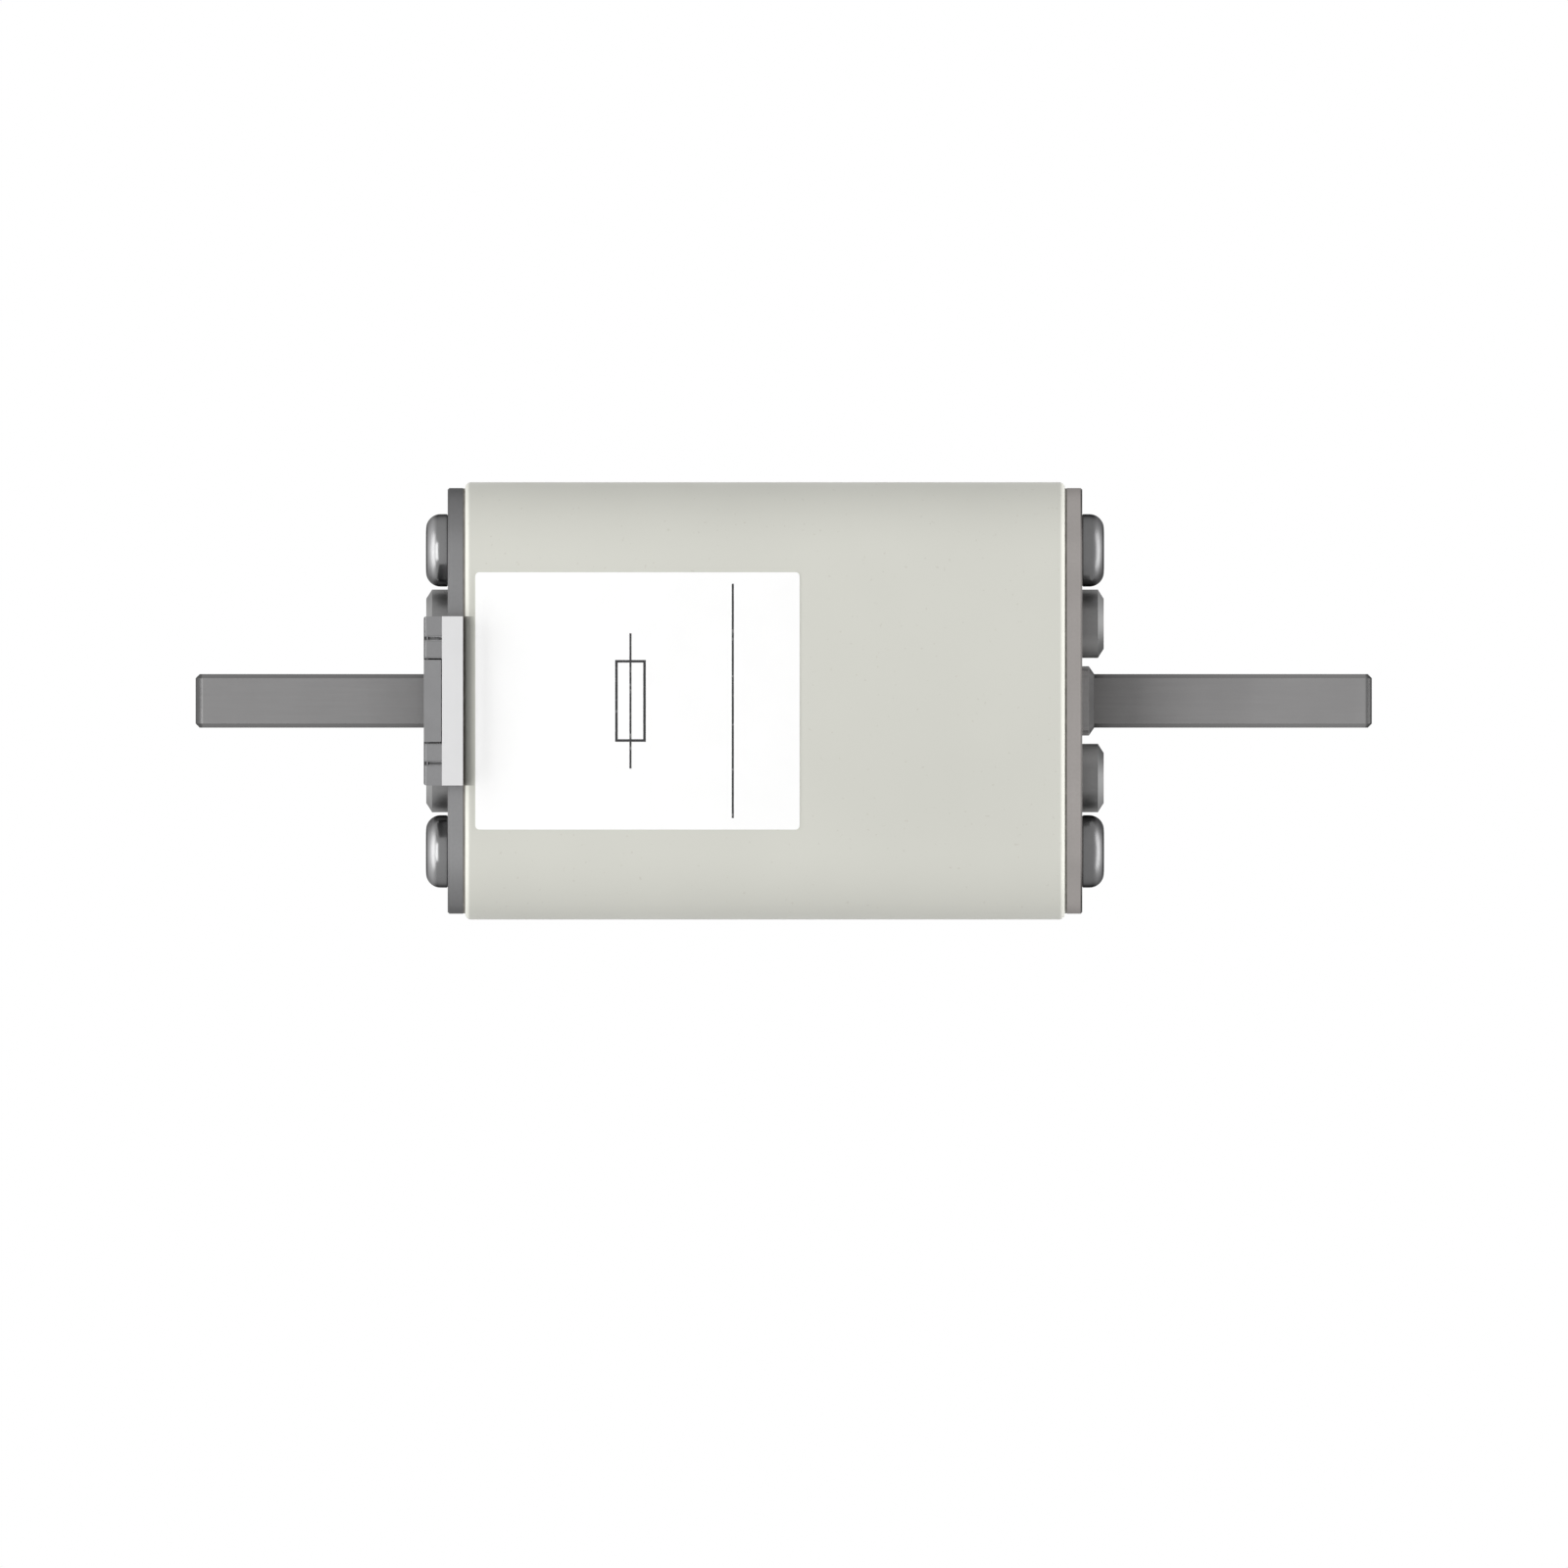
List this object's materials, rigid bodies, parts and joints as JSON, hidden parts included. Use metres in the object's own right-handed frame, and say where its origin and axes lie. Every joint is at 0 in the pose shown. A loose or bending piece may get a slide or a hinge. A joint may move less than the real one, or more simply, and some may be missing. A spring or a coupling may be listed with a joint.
{
  "type": "power fuse",
  "caption": "Square-bodied ceramic high-speed fuse with flat bolt-on blades and a trip indicator that slides out.",
  "frame": {"origin": "centre of the whole fuse's bounding box, on the blades' middle plane", "axes": "+X along the fuse's axis towards the long blade, -Y out of the face with the label and the indicator's flag, +Z square to the blades"},
  "size_m": [0.1426, 0.0552, 0.053],
  "materials": {
    "ceramic": "satin",
    "label_film": "satin",
    "plated_plate": "satin",
    "plated_copper": "satin",
    "screw_steel": "satin",
    "rivet_metal": "satin",
    "copper": "satin",
    "silver": "satin",
    "sand": "matte",
    "fibre": "matte",
    "white_plastic": "satin",
    "flag_plastic": "satin",
    "bracket_metal": "satin",
    "spring_steel": "satin",
    "insulation": "matte"
  },
  "bodies": {
    "fuse": {"ceramic_body": "ceramic", "fill_plug": "plated_plate", "fuse_element_1": "silver", "fuse_element_2": "silver", "fuse_element_3": "silver", "fuse_element_4": "silver", "fuse_element_5": "silver", "fuse_element_6": "silver", "indicator_base": "white_plastic", "indicator_bracket": "bracket_metal", "indicator_springs": "spring_steel", "label": "label_film", "left_blade": "plated_copper", "left_contact_block": "copper", "left_end_plate": "plated_plate", "left_gasket": "fibre", "left_plate_screws": "screw_steel", "left_rivets": "rivet_metal", "quartz_sand": "sand", "right_blade": "plated_copper", "right_contact_block": "copper", "right_end_plate": "plated_plate", "right_gasket": "fibre", "right_plate_screws": "screw_steel", "right_rivets": "rivet_metal", "trip_wire": "spring_steel", "wire_bushing": "insulation", "wire_sleeve": "insulation"},
    "flag": {"indicator_flag": "flag_plastic"}
  },
  "joints": [
    {"name": "flag_slide", "type": "slide", "parent": "fuse", "child": "flag", "axis": [0, -1, 0], "range_m": [0, 0.0035], "deforming": ["indicator_springs", "trip_wire"]}
  ]
}
